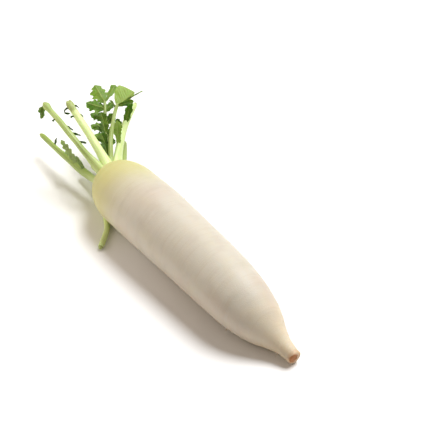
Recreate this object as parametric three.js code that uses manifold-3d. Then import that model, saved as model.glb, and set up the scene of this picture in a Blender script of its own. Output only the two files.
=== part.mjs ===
// A daikon radish with its leaves trimmed short, lying on its side as picked.
// Millimetres, +Z up. The root lies along X: tail at +X, crown and leaves at -X.
// The origin is the middle of the small flat that the root rests on.
import * as THREE from "three";
import { mergeVertices } from "three/addons/utils/BufferGeometryUtils.js";
import Module from "manifold-3d";

const wasm = await Module();
wasm.setup();

// Root: sizes along its axis are measured from the crown
const ROOT_LENGTH = 309;
const CROWN_TO_REST = 132;
const SHOULDER_DEPTH = 44;
const SHOULDER_RADIUS = 35.6;
const NECK_RADIUS = 12.5;
const CROWN_HEIGHT = 7;
// distance from the crown, radius
const OUTLINE = [
  [44, 35.6], [80, 36.2], [115, 35.4], [150, 34.2], [185, 33.1], [212, 32], [236, 30], [254, 26.6],
  [270, 21.4], [284, 14.1], [296, 9], [303, 7.7], [309, 6.9],
];
const REST_FLAT_DEPTH = 0.6;
const TAIL_START = 236;
const TAIL_END_HEIGHT = 8.2;
const TAIL_END_SIDE = 8.3;
const TAIL_ROUNDING = 2.4;
const SIDEWAYS_BEND = 2;
const OUT_OF_ROUND = 0.006;
const ROOT_SIDES = 36;
const SHOULDER_STEPS = 11;
const BODY_STEPS = 24;

// Leaves: pieces that touch keep this gap, and blades are this thick
const GAP = 0.3;
const BLADE_THICKNESS = 0.8;
const STALK_SUNK = 2;
const STALK_SIDES = 12;
const STALK_STEPS = 16;

const DEGREES = Math.PI / 180;
const mix = (a, b, k) => a + (b - a) * k;
const smooth = (k) => {
  const t = Math.min(1, Math.max(0, k));
  return t * t * (3 - 2 * t);
};

const OUTWARD = new THREE.Vector3(-1, 0, 0);
const SIDE = new THREE.Vector3(0, 1, 0);
const UP = new THREE.Vector3(0, 0, 1);
const combine = (...terms) => {
  const sum = new THREE.Vector3();
  for (const [factor, vector] of terms) sum.addScaledVector(vector, factor);
  return sum;
};

const rootSkin = new THREE.MeshStandardMaterial({ color: 0xf1e9da, roughness: 0.5, metalness: 0 });
const paleStalk = new THREE.MeshStandardMaterial({ color: 0xcfe29a, roughness: 0.5, metalness: 0 });
const greenLeaf = new THREE.MeshStandardMaterial({ color: 0x55801f, roughness: 0.6, metalness: 0 });

// A smooth curve through points whose slope never overshoots between them
function through(points, x) {
  const last = points.length - 1;
  const slope = (i) => (points[i + 1][1] - points[i][1]) / (points[i + 1][0] - points[i][0]);
  const tangent = (i) => {
    if (i === 0) return 0;
    if (i === last) return slope(last - 1);
    const product = slope(i - 1) * slope(i);
    return product <= 0 ? 0 : (2 * product) / (slope(i - 1) + slope(i));
  };
  let i = 0;
  while (i < last - 1 && x > points[i + 1][0]) i += 1;
  const width = points[i + 1][0] - points[i][0];
  const t = Math.min(1, Math.max(0, (x - points[i][0]) / width));
  return (1 + 2 * t) * (1 - t) ** 2 * points[i][1] + t * (1 - t) ** 2 * width * tangent(i)
    + t * t * (3 - 2 * t) * points[i + 1][1] + t * t * (t - 1) * width * tangent(i + 1);
}

function rootRadius(along) {
  if (along >= SHOULDER_DEPTH) return through(OUTLINE, along);
  const k = 1 - Math.max(0, along) / SHOULDER_DEPTH;
  return NECK_RADIUS + (SHOULDER_RADIUS - NECK_RADIUS) * Math.sqrt(1 - k * k);
}

// How far along the tail a place is, from 0 where it starts to 1 at its end
const downTail = (along) => Math.max(0, (along - TAIL_START) / (ROOT_LENGTH - TAIL_START));

// The underside is level from the shoulder to the tail, and the tail's end stays just off
// the surface, bent to one side
function axisHeight(along) {
  const level = rootRadius(Math.min(TAIL_START, Math.max(SHOULDER_DEPTH, along))) - REST_FLAT_DEPTH;
  return mix(level, TAIL_END_HEIGHT, Math.min(1, downTail(along)) ** 1.25);
}

function axisSide(along) {
  const bend = SIDEWAYS_BEND * Math.sin(Math.PI * Math.min(1, Math.max(0, along / ROOT_LENGTH)));
  return bend + TAIL_END_SIDE * downTail(along) ** 1.3;
}

// A closed geometry as a solid that can be cut and joined
function solid(geometry) {
  const bare = geometry.index ? geometry.toNonIndexed() : geometry.clone();
  for (const name of Object.keys(bare.attributes)) if (name !== "position") bare.deleteAttribute(name);
  const merged = mergeVertices(bare, 1e-4);
  const vertProperties = new Float32Array(merged.attributes.position.array);
  const triVerts = new Uint32Array(merged.index.array);
  const body = new wasm.Manifold(new wasm.Mesh({ numProp: 3, vertProperties, triVerts }));
  if (body.volume() <= 0) throw new Error("a solid's faces point inwards");
  return body;
}

// The largest body of a solid, so that no cut leaves a loose scrap
const largest = (body) => body.decompose().sort((a, b) => b.volume() - a.volume())[0];

function mesh(name, body, material) {
  const { vertProperties, triVerts } = body.getMesh();
  const geometry = new THREE.BufferGeometry();
  geometry.setAttribute("position", new THREE.BufferAttribute(new Float32Array(vertProperties), 3));
  geometry.setIndex(new THREE.BufferAttribute(new Uint32Array(triVerts), 1));
  geometry.computeVertexNormals();
  const piece = new THREE.Mesh(geometry, material);
  piece.name = name;
  return piece;
}

// The root is lathed about its own axis and laid along the bent one. grow makes the
// slightly larger copy that the leaves are cut back from.
function rootBody(grow) {
  const profile = [[0, -CROWN_HEIGHT], [8, 0.6 - CROWN_HEIGHT], [11.5, 3 - CROWN_HEIGHT], [NECK_RADIUS, -1]];
  for (let i = 1; i <= SHOULDER_STEPS; i += 1) {
    const along = SHOULDER_DEPTH * (1 - Math.cos((i / SHOULDER_STEPS) * Math.PI / 2));
    profile.push([rootRadius(along), along]);
  }
  for (let i = 1; i <= BODY_STEPS; i += 1) {
    const along = mix(SHOULDER_DEPTH, ROOT_LENGTH, i / BODY_STEPS);
    profile.push([rootRadius(along), along]);
  }
  const tip = rootRadius(ROOT_LENGTH);
  profile.push([0.8 * tip, ROOT_LENGTH + 0.6 * TAIL_ROUNDING], [0, ROOT_LENGTH + TAIL_ROUNDING]);
  const lathe = new THREE.LatheGeometry(profile.map(([r, y]) => new THREE.Vector2(r, y)), ROOT_SIDES);
  const place = lathe.attributes.position;
  for (let i = 0; i < place.count; i += 1) {
    const along = place.getY(i);
    const fromAxis = Math.hypot(place.getX(i), place.getZ(i));
    const angle = Math.atan2(place.getX(i), place.getZ(i));
    const oval = 1 + OUT_OF_ROUND * (Math.cos(2 * angle + 0.6) + 0.7 * Math.cos(3 * angle + along / 60));
    const radius = fromAxis < 1e-6 ? 0 : fromAxis * oval + grow;
    place.setXYZ(
      i,
      along - CROWN_TO_REST - (along < 0 ? grow : 0),
      axisSide(along) + radius * Math.cos(angle),
      axisHeight(along) + radius * Math.sin(angle),
    );
  }
  return solid(lathe);
}

function restedRoot() {
  const surface = new THREE.BoxGeometry(2 * ROOT_LENGTH, 200, 40);
  surface.translate(0, 0, -20);
  return rootBody(0).subtract(solid(surface));
}

// The middle line of a stalk, as points with the directions along it, inner (towards the
// root's axis) and across. It starts on a ring round the crown at the angle `around`,
// leans away from the axis by lean[0] to lean[1] degrees and drifts round by `sway`.
function leaningLine({ around, lean, length, ring, sway = 0 }) {
  const radial = (angle) => combine([Math.cos(angle), SIDE], [Math.sin(angle), UP]);
  const frameAt = (s) => {
    const a = mix(lean[0], lean[1], smooth(s)) * DEGREES;
    const b = (around + sway * s) * DEGREES;
    return {
      along: combine([Math.cos(a), OUTWARD], [Math.sin(a), radial(b)]),
      inner: combine([Math.sin(a), OUTWARD], [-Math.cos(a), radial(b)]),
      across: combine([-Math.sin(b), SIDE], [Math.cos(b), UP]),
    };
  };
  const start = new THREE.Vector3(-CROWN_TO_REST, axisSide(0), axisHeight(0));
  start.addScaledVector(radial(around * DEGREES), ring).addScaledVector(OUTWARD, -STALK_SUNK);
  const line = [{ at: start, ...frameAt(0) }];
  const step = (length + STALK_SUNK) / STALK_STEPS;
  for (let i = 1; i <= STALK_STEPS; i += 1) {
    const at = line[i - 1].at.clone().addScaledVector(frameAt((i - 0.5) / STALK_STEPS).along, step);
    line.push({ at, ...frameAt(i / STALK_STEPS) });
  }
  return line;
}

// The middle line of a stalk that has fallen over, along a smooth curve by hand
function fallenLine(route) {
  const points = route.map((point) => new THREE.Vector3(...point));
  const curve = new THREE.CatmullRomCurve3(points, false, "centripetal");
  let inner = UP.clone();
  return Array.from({ length: STALK_STEPS + 1 }, (_, i) => {
    const along = curve.getTangentAt(i / STALK_STEPS);
    inner = inner.clone().addScaledVector(along, -inner.dot(along)).normalize();
    return { at: curve.getPointAt(i / STALK_STEPS), along, inner, across: along.clone().cross(inner) };
  });
}

const stalkLine = (leaf) => (leaf.route ? fallenLine(leaf.route) : leaningLine(leaf));

function onLine(line, s) {
  const x = Math.min(1, Math.max(0, s)) * (line.length - 1);
  const i = Math.min(line.length - 2, Math.floor(x));
  const between = (name) => line[i][name].clone().lerp(line[i + 1][name], x - i);
  const [at, along, inner, across] = ["at", "along", "inner", "across"].map(between);
  return { at, along: along.normalize(), inner: inner.normalize(), across: across.normalize() };
}

// Half width and half thickness: a broad clasping base, a rounder middle, a rounded end
function stalkSection({ base, middle, end, flare = 0.3, knuckle = 0 }, s) {
  const spread = smooth(s / flare);
  const taper = Math.max(0, (s - flare) / (1 - flare));
  const swelling = 1 + knuckle * Math.exp(-(((s - 0.95) / 0.04) ** 2));
  const tip = s > 0.999 ? 0.62 : 1;
  return [0, 1].map((axis) => mix(mix(base[axis], middle[axis], spread), end[axis], taper) * swelling * tip);
}

// A stalk is a closed cylinder whose rings are set on the middle line. The section is
// an oval with a channel down its inner side, curled round the crown at the base.
function stalkBody(leaf, grow) {
  const line = stalkLine(leaf);
  const tube = new THREE.CylinderGeometry(1, 1, 1, STALK_SIDES, STALK_STEPS);
  const place = tube.attributes.position;
  for (let i = 0; i < place.count; i += 1) {
    const s = place.getY(i) + 0.5;
    const cosine = place.getX(i);
    const sine = place.getZ(i);
    const rim = Math.hypot(cosine, sine);
    const [halfWidth, halfThickness] = stalkSection(leaf, s);
    const hollow = smooth(sine / 0.6) * (1 - smooth(Math.abs(cosine) / 0.7)) * (1 - smooth((s - 0.7) / 0.2));
    const channel = 1 - 0.45 * hollow;
    const curl = 0.32 * halfWidth * (1 - smooth(s / 0.4)) * cosine * cosine;
    const x = cosine * (halfWidth + grow);
    const y = sine * (halfThickness * channel + grow) + curl;
    const ring = onLine(line, s);
    const endCap = s > 0.999 ? (rim > 0.5 ? 0 : 0.8) + grow : s < 0.001 ? -grow : 0;
    const at = combine([1, ring.at], [x, ring.across], [y, ring.inner], [endCap, ring.along]);
    place.setXYZ(i, at.x, at.y, at.z);
  }
  return solid(tube);
}

// A leaf blade is a thin sheet that leaves `from` in the direction `along`, with its
// upper side facing `upper`. It arches along its rib, folds about it and ruffles at its
// lobed edge. `lopsided` makes one half wider than the other. Both faces are divided alike.
function bladeBody({
  from, along, upper, length, width, lobes = 3, notch = 0.4, sweep = 0.5, arch = 0, fold = 15,
  ruffle = 0, broadest = 0.55, lopsided = 0, rows = 3 * lobes, columns = 4,
}) {
  const ahead = along.clone().normalize();
  const normal = upper.clone().addScaledVector(ahead, -upper.dot(ahead)).normalize();
  const side = normal.clone().cross(ahead);
  const stem = 0.8;
  const fullness = Math.log(0.5) / Math.log(broadest);
  const turn = fold * DEGREES;
  const middle = from.clone();
  const grid = [];
  for (let i = 0; i <= rows; i += 1) {
    const s = i / rows;
    const bend = arch * s * DEGREES;
    const forward = combine([Math.cos(bend), ahead], [Math.sin(bend), normal]);
    const above = combine([-Math.sin(bend), ahead], [Math.cos(bend), normal]);
    if (i > 0) middle.addScaledVector(forward, length / rows);
    const swell = Math.sin(Math.PI * s ** fullness) ** 0.7;
    const lobe = 1 - notch * (0.5 + 0.5 * Math.cos(2 * Math.PI * lobes * s));
    const row = [];
    for (let j = 0; j <= columns; j += 1) {
      const q = (2 * j) / columns - 1;
      const out = Math.sign(q);
      const half = stem + Math.max(0, (width / 2) * (1 + lopsided * out) - stem) * swell * lobe;
      const reach = Math.abs(q) * half;
      const wave = ruffle * q * q * swell * Math.sin(Math.PI * lobes * s + (q > 0 ? 0 : 2));
      const at = combine(
        [1, middle],
        [out * reach * Math.cos(turn), side],
        [reach * Math.sin(turn) + wave, above],
        [sweep * reach * swell, forward],
      );
      const face = combine([Math.cos(turn * Math.abs(out)), above], [-out * Math.sin(turn), side]);
      row.push([0.5, -0.5].map((k) => at.clone().addScaledVector(face, k * BLADE_THICKNESS).toArray()));
    }
    grid.push(row);
  }
  const place = [];
  const quad = (a, b, c, d) => place.push(...a, ...b, ...c, ...a, ...c, ...d);
  for (let i = 0; i < rows; i += 1) {
    const [near, far] = [grid[i], grid[i + 1]];
    for (let j = 0; j < columns; j += 1) {
      quad(near[j][0], far[j][0], far[j + 1][0], near[j + 1][0]);
      place.push(...near[j][1], ...far[j + 1][1], ...far[j][1]);
      place.push(...near[j][1], ...near[j + 1][1], ...far[j + 1][1]);
    }
    quad(near[0][1], far[0][1], far[0][0], near[0][0]);
    quad(near[columns][0], far[columns][0], far[columns][1], near[columns][1]);
  }
  for (let j = 0; j < columns; j += 1) {
    quad(grid[0][j][1], grid[0][j][0], grid[0][j + 1][0], grid[0][j + 1][1]);
    quad(grid[rows][j][0], grid[rows][j][1], grid[rows][j + 1][1], grid[rows][j + 1][0]);
  }
  const sheet = new THREE.BufferGeometry();
  sheet.setAttribute("position", new THREE.Float32BufferAttribute(place, 3));
  return solid(sheet);
}

// A leaflet on a stalk: `at` is its place along the stalk, `side` +1 or -1 which edge it
// grows from, `turn` its angle from the stalk, `tilt` how far it rises to the inner side.
function leafletBody(leaf, { at, side, turn, tilt = 0, upper, sunk = 1.8, ...blade }) {
  const place = onLine(stalkLine(leaf), at);
  const [halfWidth] = stalkSection(leaf, at);
  const out = combine(
    [side * Math.cos(tilt * DEGREES), place.across],
    [Math.sin(tilt * DEGREES), place.inner],
  );
  const along = combine([Math.cos(turn * DEGREES), place.along], [Math.sin(turn * DEGREES), out]);
  const level = combine([1, place.inner], [-Math.sin(tilt * DEGREES), out]);
  const facing = upper ? new THREE.Vector3(...upper) : level;
  const from = place.at.clone().addScaledVector(out, Math.max(0, halfWidth - sunk));
  return bladeBody({ from, along, upper: facing, ...blade });
}

// Scraps of leaf left where the blades were stripped off
const scrap = (at, side, turn, length, more = {}) => ({
  at, side, turn, length, width: 3.4, lobes: 2, notch: 0.3, arch: 50, ruffle: 0.5, rows: 5, columns: 2,
  ...more,
});

// Which way the upper side of a blade that has twisted on its rib faces
const TO_THE_FRONT = [0.61, -0.46, 0.64];
const TO_THE_BACK = [-0.61, 0.46, -0.64];

// The leaves, outer ring first. Lengths are those of the trimmed stalks; base, middle and
// end are half widths and half thicknesses.
const LEAVES = [
  {
    name: "leaf_stripped_pale", around: 76, lean: [20.5, 20.5], length: 98.5, ring: 12, sway: 8,
    base: [7.4, 3.8], middle: [4.7, 4.3], end: [3.8, 3.6], knuckle: 0.12,
    leaflets: [
      scrap(0.92, 1, 74, 19, { arch: 200, width: 4.6 }), scrap(0.94, -1, 110, 9), scrap(0.81, -1, 125, 8),
      scrap(0.79, 1, 70, 6),
    ],
  },
  {
    name: "leaf_broad", around: 16, lean: [34.5, 52], length: 117.5, ring: 12.5, sway: -16,
    base: [8.4, 4.4], middle: [5.2, 4.2], end: [2.9, 2.8], flare: 0.5,
    leaflets: [
      {
        at: 0.66, side: 1, turn: 42, tilt: -15, upper: TO_THE_FRONT, length: 26, width: 11, ruffle: 1.2,
        sunk: 2.4, broadest: 0.4,
      },
      {
        at: 0.53, side: 1, turn: 50, tilt: 25, upper: TO_THE_FRONT, length: 15, width: 9, ruffle: 1,
        sunk: 2.4,
      },
      {
        at: 0.3, side: 1, turn: 36, upper: TO_THE_FRONT, length: 31, width: 12, ruffle: 0.8, sunk: 4,
        notch: 0.3, broadest: 0.6,
      },
    ],
  },
  {
    name: "leaf_behind_broad", around: -22, lean: [42, 33.5], length: 96, ring: 12.5, sway: 3,
    base: [7.2, 3.6], middle: [5, 4], end: [3.6, 3.2], leaflets: [scrap(0.94, 1, 60, 8)],
  },
  {
    name: "leaf_under_right", around: -60, lean: [32, 2], length: 66, ring: 11.5,
    base: [7, 3.6], middle: [4.6, 3.9], end: [3.4, 3], leaflets: [scrap(0.88, 1, 60, 8)],
  },
  {
    name: "leaf_under", around: -92, lean: [20, 4], length: 60, ring: 12,
    base: [6.6, 3.4], middle: [4.4, 3.8], end: [3.2, 3], leaflets: [],
  },
  {
    name: "leaf_long_low", around: -139, lean: [4, 0], length: 129, ring: 11,
    base: [7.6, 3.8], middle: [5.3, 4.7], end: [2.8, 2.6],
    leaflets: [
      scrap(0.76, -1, 50, 10, { tilt: 65, arch: 40, width: 5 }), scrap(0.55, -1, 50, 7, { tilt: 60 }),
      {
        at: 0.38, side: -1, turn: 40, tilt: 35, upper: TO_THE_FRONT, length: 34, width: 10, lobes: 5,
        notch: 0.7, ruffle: 1, sunk: 3,
      },
      {
        at: 0.26, side: -1, turn: 42, tilt: 35, upper: TO_THE_FRONT, length: 20, width: 6, notch: 0.5,
        ruffle: 0.8, sunk: 3,
      },
    ],
  },
  {
    name: "leaf_long_knuckled", around: 119.5, lean: [37, 7], length: 113, ring: 9, sway: -38,
    base: [6.4, 3.6], middle: [3.5, 3.5], end: [3, 3], knuckle: 0.45,
    leaflets: [
      scrap(0.97, 1, 110, 14, { tilt: 50, width: 8, lobes: 3, rows: 7, arch: 20 }),
      scrap(0.98, 1, 85, 10, { tilt: 40, width: 7, lobes: 3, rows: 7, arch: 20 }),
      scrap(0.98, -1, 70, 6), scrap(0.76, 1, 100, 5),
      scrap(0.66, -1, 140, 13, { tilt: 25, arch: 10, width: 4.4 }),
      scrap(0.54, -1, 135, 12, { tilt: 10, arch: 10 }),
      scrap(0.42, -1, 135, 10, { tilt: 5, arch: 10 }),
    ],
  },
  {
    name: "leaf_thin_with_fan", around: 44, lean: [35, 52], length: 88.5, ring: 7, sway: -17,
    base: [4, 3], middle: [2.9, 2.6], end: [1.8, 1.7],
    leaflets: [
      {
        at: 0.96, side: -1, turn: 30, tilt: -60, upper: TO_THE_BACK, length: 28, width: 23, lopsided: -0.7,
        lobes: 2, notch: 0.08, fold: 12, rows: 8, sunk: 1.2, sweep: 0.2, ruffle: 0.8,
      },
      {
        at: 0.97, side: -1, turn: 60, tilt: -70, upper: TO_THE_FRONT, length: 19, width: 8, ruffle: 0.8,
        sunk: 1.2,
      },
      scrap(0.97, -1, 37, 37, { tilt: -64, width: 2, arch: 14, rows: 8, sunk: 1.2 }),
      scrap(0.93, 1, 34, 15, { tilt: 40, arch: 50, sunk: 1.2 }),
    ],
  },
  {
    name: "leaf_green", around: 31, lean: [30.5, 36], length: 105, ring: 3.4,
    base: [3.8, 2.6], middle: [2.9, 2.6], end: [1.7, 1.6],
    leaflets: [
      {
        at: 0.98, side: 1, turn: 22, tilt: 60, length: 28, width: 25, lobes: 4, notch: 0.45, ruffle: 1.4,
        broadest: 0.5, sweep: 0.2,
      },
      { at: 0.98, side: -1, turn: 26, tilt: -60, length: 29, width: 12, ruffle: 1, broadest: 0.75 },
      { at: 0.9, side: 1, turn: 66, tilt: 62, length: 23, width: 21, ruffle: 1.4, broadest: 0.4 },
      { at: 0.86, side: -1, turn: 34, tilt: -58, length: 16, width: 12, ruffle: 1 },
      { at: 0.79, side: 1, turn: 78, tilt: 58, length: 17, width: 17, ruffle: 1.2, broadest: 0.35 },
      { at: 0.72, side: 1, turn: 44, tilt: 48, length: 15, width: 14, ruffle: 1.2 },
      { at: 0.69, side: -1, turn: 30, tilt: -56, length: 18, width: 14, ruffle: 1 },
      { at: 0.64, side: 1, turn: 74, tilt: 62, length: 17, width: 15, ruffle: 1.2, broadest: 0.4 },
      { at: 0.57, side: 1, turn: 40, tilt: 46, length: 16, width: 15, ruffle: 1.2 },
      { at: 0.52, side: -1, turn: 30, tilt: -60, length: 16, width: 14, ruffle: 1 },
      { at: 0.5, side: 1, turn: 66, tilt: 60, length: 14, width: 14, ruffle: 1.2, broadest: 0.4 },
      { at: 0.42, side: 1, turn: 38, tilt: 45, length: 15, width: 13, ruffle: 1 },
      { at: 0.38, side: -1, turn: 26, tilt: -60, length: 14, width: 11, ruffle: 0.8 },
      { at: 0.34, side: 1, turn: 46, tilt: 60, length: 13, width: 12, ruffle: 0.8 },
      { at: 0.26, side: 1, turn: 34, tilt: 46, length: 12, width: 9, lobes: 2, ruffle: 0.8 },
      { at: 0.66, side: 1, turn: 20, tilt: 20, upper: TO_THE_FRONT, length: 18, width: 13, ruffle: 1.2 },
      { at: 0.52, side: 1, turn: 16, upper: TO_THE_FRONT, length: 18, width: 13, ruffle: 1.2 },
      { at: 0.37, side: 1, turn: 22, tilt: 20, upper: TO_THE_FRONT, length: 19, width: 14, ruffle: 1.2 },
      { at: 0.22, side: 1, turn: 16, upper: TO_THE_FRONT, length: 18, width: 12, ruffle: 1 },
    ],
  },
  {
    name: "leaf_drooping",
    route: [
      [-130, -4.6, 25.5], [-138, -5, 20], [-140, -5, 12], [-135, -6, 5.6], [-122, -12, 3.5],
      [-109, -20, 3.5], [-90, -31, 3.5], [-70, -52, 3.5],
    ],
    base: [4.6, 3.2], middle: [3.2, 3.2], end: [3, 2.9], leaflets: [],
  },
];

// Each leaf is its stalk with its leaflets grown into it. A stalk is cut back from the
// root and from the stalks placed before it, and a leaflet from every other stalk.
function leaves() {
  const grownRoot = rootBody(GAP);
  const grownStalks = LEAVES.map((leaf) => stalkBody(leaf, GAP));
  const without = (body, others) => others.reduce((rest, other) => rest.subtract(other), body);
  return LEAVES.map((leaf, i) => {
    const stalk = without(stalkBody(leaf, 0), grownStalks.slice(0, i));
    const others = grownStalks.filter((_, k) => k !== i);
    const blades = leaf.leaflets.map((leaflet) => without(leafletBody(leaf, leaflet), others));
    const whole = blades.reduce((body, blade) => body.add(blade), stalk).subtract(grownRoot);
    return mesh(leaf.name, largest(whole), leaf.name === "leaf_green" ? greenLeaf : paleStalk);
  });
}

const daikon = new THREE.Group();
daikon.name = "daikon";
daikon.add(mesh("daikon_root", restedRoot(), rootSkin), ...leaves());

export default daikon;
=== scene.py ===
"""A daikon radish with its leaves trimmed short, lying on its side.

Each solid of the frame is replaced by a finer surface of the same form, in the same
place, which carries the skin, ribs, veins and marks. Lengths in the tables are in
millimetres, and along the root they are measured from its crown. Every mesh is made in
metres in the frame's own coordinates: +X towards the tail, +Z up.
"""

import math
import random

import bmesh
import bpy
import numpy as np
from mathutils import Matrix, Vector


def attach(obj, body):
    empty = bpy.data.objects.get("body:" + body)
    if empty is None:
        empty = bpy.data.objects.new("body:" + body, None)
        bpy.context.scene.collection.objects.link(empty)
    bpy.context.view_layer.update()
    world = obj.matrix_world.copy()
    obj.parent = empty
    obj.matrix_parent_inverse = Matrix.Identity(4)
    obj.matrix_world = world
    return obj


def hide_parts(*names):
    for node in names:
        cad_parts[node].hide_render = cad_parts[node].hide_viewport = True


bl_info = {
    "name": "Daikon Radish",
    "version": (1, 0, 0),
    "blender": (4, 5, 0),
    "location": "3D View > Sidebar > Daikon",
    "description": "Builds a daikon radish with trimmed leaves around its fixed frame",
    "category": "Object",
}

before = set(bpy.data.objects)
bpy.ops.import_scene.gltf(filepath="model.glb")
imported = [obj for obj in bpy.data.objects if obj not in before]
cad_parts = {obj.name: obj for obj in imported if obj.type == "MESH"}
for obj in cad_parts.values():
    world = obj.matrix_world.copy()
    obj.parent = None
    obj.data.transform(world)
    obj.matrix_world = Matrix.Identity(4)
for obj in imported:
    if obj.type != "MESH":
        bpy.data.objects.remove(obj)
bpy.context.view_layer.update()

MM = 0.001
BODY = "root"
FLOOR_DROP = 0.00005

# The root's form, as in the solid
ROOT_LENGTH = 309
CROWN_TO_REST = 132
SHOULDER_DEPTH = 44
SHOULDER_RADIUS = 35.6
NECK_RADIUS = 12.5
CROWN_HEIGHT = 7
# distance from the crown, radius
OUTLINE = [
    (44, 35.6), (80, 36.2), (115, 35.4), (150, 34.2), (185, 33.1), (212, 32), (236, 30), (254, 26.6),
    (270, 21.4), (284, 14.1), (296, 9), (303, 7.7), (309, 6.9),
]
REST_FLAT_DEPTH = 0.6
TAIL_START = 236
TAIL_END_HEIGHT = 8.2
TAIL_END_SIDE = 8.3
TAIL_ROUNDING = 2.4
SIDEWAYS_BEND = 2
OUT_OF_ROUND = 0.006
STALK_SUNK = 2

# How finely the root, the stalks and the blades are divided
ROOT_SIDES = 176
CROWN_RINGS = 14
SHOULDER_RINGS = 70
BODY_RINGS = 372
TAIL_CUT_RINGS = 10
STALK_SIDES = 44
STALK_RINGS = 150
STALK_CUT_RINGS = 8
BLADE_COLUMNS = 20

# Side roots grow from a daikon in two rows: the angle of each row round the axis, in degrees
SCAR_ROWS = (207, 28)
SCAR_FIRST = 62
SCAR_LAST = 300
SCARS_IN_A_ROW = 13
CROSS_RINGS = 90
# Stubs of thicker side roots: distance from the crown, angle
STUBS = ((243.5, 216), (288, 206))
STUB_LENGTH = 2.2
STUB_RADIUS = 1
ROOTLET_SIDES = 7
ROOTLET_STEPS = 10
# The dried cut at the tail's end: it reaches further over the rim on one side, given as an angle
CUT_RADIUS = 5.2
CUT_SLANT = 2.6
CUT_SIDE = 160
CUT_EDGE = 1.8
CUT_HOLLOW = 0.3
CUT_RIM_DEPTH = 3
# Where along the root the tail's wrinkles start
WRINKLES_START = 276

# How far a leaflet is sunk into its stalk, the half width of its stem, and how its veins run
LEAFLET_SUNK = 1.8
STEM_HALF_WIDTH = 0.8
SIDE_VEINS = 9
VEIN_SLANT = 2.2
# What a leaflet's row says of its place, as against its shape
PLACING = ("at", "side", "turn", "tilt", "upper", "sunk")

# The lights, in metres and degrees: where each comes from, how large it is, and its colour
KEY_DIRECTION = (-0.10, 0.52, 0.85)
KEY_ANGLE = 30
KEY_COLOUR = (0.97, 0.985, 1.0)
SIDE_LIGHT_PLACE = (-0.25, -0.25, 0.18)
SIDE_LIGHT_AIM = (-0.10, 0, 0.03)
SIDE_LIGHT_SIZE = 0.3
SIDE_LIGHT_COLOUR = (1.0, 0.9, 0.78)
SKY_COLOUR = (1.0, 0.85, 0.71)

OUTWARD = np.array([-1.0, 0.0, 0.0])
SIDE = np.array([0.0, 1.0, 0.0])
UP = np.array([0.0, 0.0, 1.0])


def scrap(at, side, turn, length, **more):
    """A shred of leaf left where a blade was stripped off."""
    shred = {
        "at": at, "side": side, "turn": turn, "length": length, "width": 3.4, "lobes": 2, "notch": 0.3,
        "arch": 50, "ruffle": 0.5, "dark": 0.8,
    }
    return {**shred, **more}


def leaflet(at, side, turn, length, width, **more):
    """A blade that is still on its stalk."""
    return {"at": at, "side": side, "turn": turn, "length": length, "width": width, **more}


# Which way the upper side of a blade that has twisted on its rib faces
TO_THE_FRONT = (0.61, -0.46, 0.64)
TO_THE_BACK = (-0.61, 0.46, -0.64)

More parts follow.
